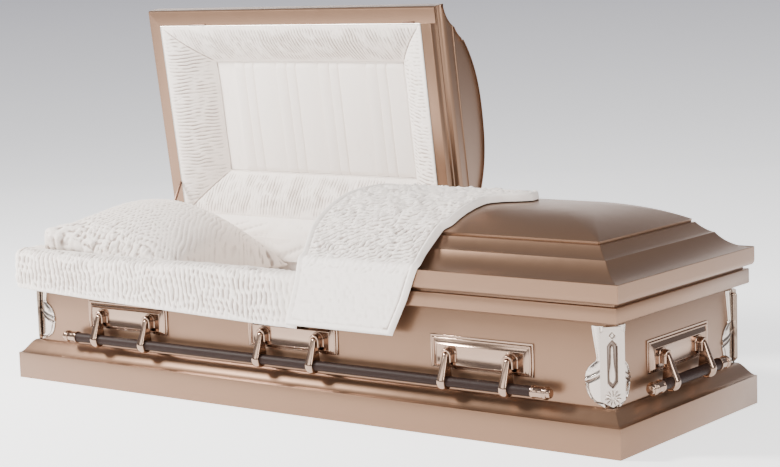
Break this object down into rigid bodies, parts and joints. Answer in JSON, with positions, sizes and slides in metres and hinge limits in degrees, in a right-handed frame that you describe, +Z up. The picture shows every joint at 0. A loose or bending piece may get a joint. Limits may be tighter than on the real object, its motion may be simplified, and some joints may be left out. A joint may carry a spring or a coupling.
{
  "type": "funeral casket",
  "caption": "Half-couch metal casket with domed lids, head lid open on hinges, swing-bar handles, corner castings and a crepe interior.",
  "frame": {"origin": "middle of the flat bottom pan, on the surface the casket stands on", "axes": "+X toward the foot end, -Y the side the mourners see, +Y the hinge side, +Z up"},
  "size_m": [2.1658, 0.899, 1.1032],
  "materials": {
    "copper_rose_paint": "satin metallic copper rose with a light sheen",
    "zinc_steel": "zinc plated",
    "bed_board": "plain board",
    "satin_silver_casting": "satin silver with polished high spots",
    "grained_brown_bar": "dark brown, finely grained",
    "rose_plated_metal": "polished rose copper plate",
    "ivory_crepe": "ivory crepe"
  },
  "bodies": {
    "casket_body": {"base_moulding": "copper_rose_paint", "body_shell": "copper_rose_paint", "top_rail": "copper_rose_paint", "head_hinge": "zinc_steel", "foot_hinge": "zinc_steel", "bed_frame": "bed_board", "wall_lining": "ivory_crepe", "mattress": "ivory_crepe", "pillow": "ivory_crepe", "apron": "ivory_crepe", "corner_casting_front_foot": "satin_silver_casting", "corner_casting_back_foot": "satin_silver_casting", "corner_casting_front_head": "satin_silver_casting", "corner_casting_back_head": "satin_silver_casting", "front_plate_1": "rose_plated_metal", "front_plate_2": "rose_plated_metal", "front_plate_3": "rose_plated_metal", "back_plate_1": "rose_plated_metal", "back_plate_2": "rose_plated_metal", "back_plate_3": "rose_plated_metal", "foot_plate": "rose_plated_metal", "head_plate": "rose_plated_metal"},
    "head_lid": {"head_lid_shell": "copper_rose_paint", "head_lid_end_panel": "copper_rose_paint", "head_lid_padded_frame": "ivory_crepe", "head_lid_pleated_panel": "ivory_crepe", "head_lid_keeper_1": "zinc_steel", "head_lid_keeper_2": "zinc_steel"},
    "foot_lid": {"foot_lid_shell": "copper_rose_paint", "foot_lid_lining": "ivory_crepe", "throw": "ivory_crepe"},
    "stay": {"lid_stay": "zinc_steel"},
    "front_swing_bar": {"front_bar": "grained_brown_bar", "front_bar_tip_left": "rose_plated_metal", "front_bar_tip_right": "rose_plated_metal", "front_arm_1": "rose_plated_metal", "front_arm_2": "rose_plated_metal", "front_arm_3": "rose_plated_metal", "front_arm_4": "rose_plated_metal", "front_arm_5": "rose_plated_metal", "front_arm_6": "rose_plated_metal"},
    "back_swing_bar": {"back_bar": "grained_brown_bar", "back_bar_tip_left": "rose_plated_metal", "back_bar_tip_right": "rose_plated_metal", "back_arm_1": "rose_plated_metal", "back_arm_2": "rose_plated_metal", "back_arm_3": "rose_plated_metal", "back_arm_4": "rose_plated_metal", "back_arm_5": "rose_plated_metal", "back_arm_6": "rose_plated_metal"},
    "foot_swing_bar": {"foot_bar": "grained_brown_bar", "foot_bar_tip_left": "rose_plated_metal", "foot_bar_tip_right": "rose_plated_metal", "foot_arm_1": "rose_plated_metal", "foot_arm_2": "rose_plated_metal"},
    "head_swing_bar": {"head_bar": "grained_brown_bar", "head_bar_tip_left": "rose_plated_metal", "head_bar_tip_right": "rose_plated_metal", "head_arm_1": "rose_plated_metal", "head_arm_2": "rose_plated_metal"}
  },
  "joints": [
    {"name": "head_lid_hinge", "type": "hinge", "parent": "casket_body", "child": "head_lid", "pos_m": [0, 0.3572, 0.3801], "axis": [-1, 0, 0], "range_deg": [-82.5, 0], "deforming": ["pillow", "apron", "throw"]},
    {"name": "foot_lid_hinge", "type": "hinge", "parent": "casket_body", "child": "foot_lid", "pos_m": [0, 0.3572, 0.3801], "axis": [-1, 0, 0], "range_deg": [0, 80]},
    {"name": "lid_stay_pivot", "type": "hinge", "parent": "casket_body", "child": "stay", "pos_m": [-1.0129, 0.2422, 0.3581], "axis": [-1, 0, 0], "range_deg": [-115, 0]},
    {"name": "front_bar_swing", "type": "hinge", "parent": "casket_body", "child": "front_swing_bar", "pos_m": [0, -0.351, 0.2115], "axis": [-1, 0, 0], "range_deg": [0, 80]},
    {"name": "back_bar_swing", "type": "hinge", "parent": "casket_body", "child": "back_swing_bar", "pos_m": [0, 0.351, 0.2115], "axis": [1, 0, 0], "range_deg": [0, 80]},
    {"name": "foot_bar_swing", "type": "hinge", "parent": "casket_body", "child": "foot_swing_bar", "pos_m": [1.048, 0, 0.2115], "axis": [0, -1, 0], "range_deg": [0, 80]},
    {"name": "head_bar_swing", "type": "hinge", "parent": "casket_body", "child": "head_swing_bar", "pos_m": [-1.048, 0, 0.2115], "axis": [0, 1, 0], "range_deg": [0, 80]}
  ],
  "couplings": [
    {"joint": "lid_stay_pivot", "follows": "head_lid_hinge", "ratio": 1.38}
  ]
}
